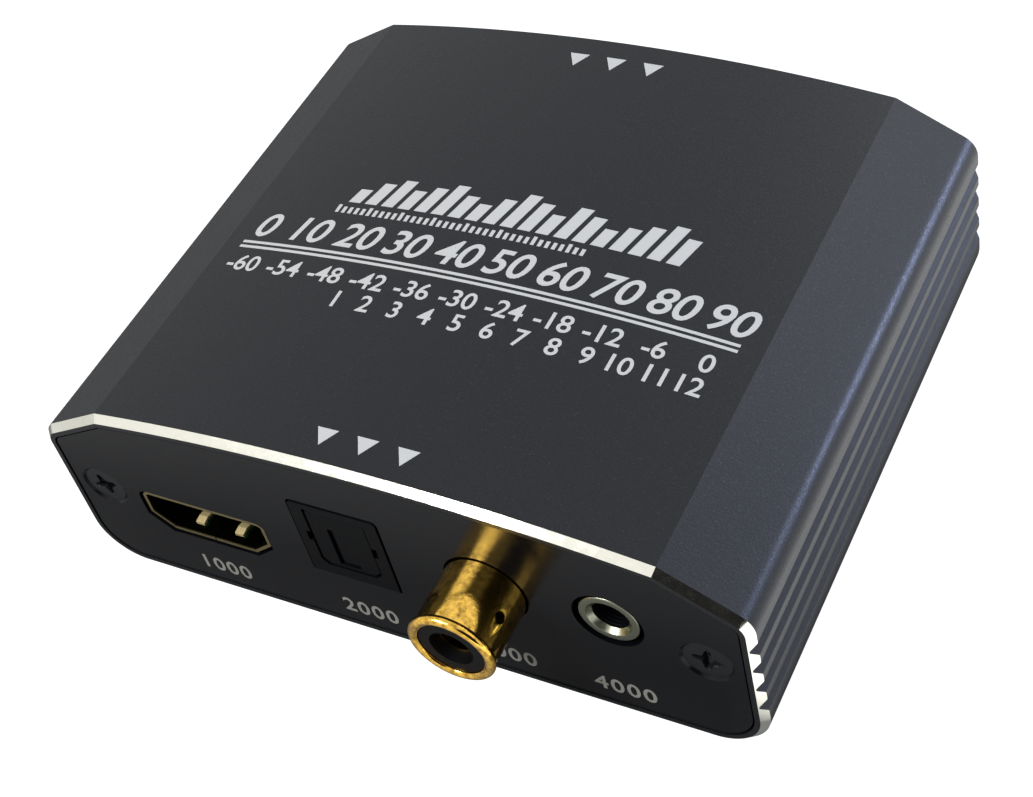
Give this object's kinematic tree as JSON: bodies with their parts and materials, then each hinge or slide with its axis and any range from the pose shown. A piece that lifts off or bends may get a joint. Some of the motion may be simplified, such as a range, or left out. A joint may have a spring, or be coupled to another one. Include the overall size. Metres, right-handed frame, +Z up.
{
  "type": "audio extractor",
  "caption": "Small extruded metal converter box with arched top and ribbed sides; video, optical, coaxial and stereo output sockets; video input, power socket and mode switch on the rear.",
  "frame": {"origin": "middle of the underside of the housing, where the box stands", "axes": "+Z up, -Y out of the face with the output sockets, +X to the right as seen from that face"},
  "size_m": [0.076, 0.0717, 0.0263],
  "materials": {
    "housing_metal": "fine bead-blasted, anodised dark grey, with bright cut ends",
    "panel_metal": "satin, anodised near black",
    "black_steel": "black oxide, satin",
    "board_green": "green solder mask, satin",
    "plated_steel": "thin nickel-plated sheet",
    "black_plastic": "moulded, fine matt",
    "gold_plate": "thin gold plate, polished",
    "nickel": "nickel plate, turned",
    "tin_plate": "tin-plated, dull",
    "brown_laminate": "punched laminate",
    "red_lens": "clear tinted, smooth",
    "dark_red_resin": "tinted resin, smooth",
    "chip_resin": "moulded resin, matt",
    "grey_pad": "soft, matt",
    "sink_metal": "extruded, anodised",
    "ferrite": "pressed ferrite, matt",
    "can_metal": "drawn, bright"
  },
  "bodies": {
    "box": {"housing": "housing_metal", "front_panel": "panel_metal", "rear_panel": "panel_metal", "front_screws": "black_steel", "rear_screws": "black_steel", "circuit_board": "board_green", "video_out_shell": "plated_steel", "video_out_insulator": "black_plastic", "video_out_contacts": "gold_plate", "video_in_shell": "plated_steel", "video_in_insulator": "black_plastic", "video_in_contacts": "gold_plate", "optical_body": "black_plastic", "optical_emitter": "dark_red_resin", "coax_barrel": "gold_plate", "coax_insulator": "black_plastic", "coax_contact": "gold_plate", "coax_base": "black_plastic", "stereo_ring": "nickel", "stereo_body": "black_plastic", "stereo_contacts": "gold_plate", "power_jack_body": "black_plastic", "power_jack_pin": "nickel", "power_jack_spring": "tin_plate", "mode_switch_frame": "plated_steel", "mode_switch_base": "brown_laminate", "mode_switch_pins": "tin_plate", "power_light": "red_lens", "power_light_leads": "tin_plate", "converter_chip": "chip_resin", "thermal_pad": "grey_pad", "heat_sink": "sink_metal", "audio_chip": "chip_resin", "memory_chip": "chip_resin", "voltage_regulators": "chip_resin", "power_coil": "ferrite", "clock_crystal": "tin_plate", "storage_capacitors": "can_metal"},
    "shutter": {"optical_shutter": "black_plastic"},
    "mode_knob": {"mode_switch_knob": "black_plastic"}
  },
  "joints": [
    {"name": "shutter_hinge", "type": "hinge", "parent": "box", "child": "shutter", "pos_m": [-0.00367, -0.0308, 0.0181], "axis": [1, 0, 0], "range_deg": [0, 80], "stiffness_Nm_per_rad": 0.0002, "springref_deg": -17.19},
    {"name": "mode_slide", "type": "slide", "parent": "box", "child": "mode_knob", "axis": [1, 0, 0], "range_m": [-0.002, 0.002]}
  ]
}
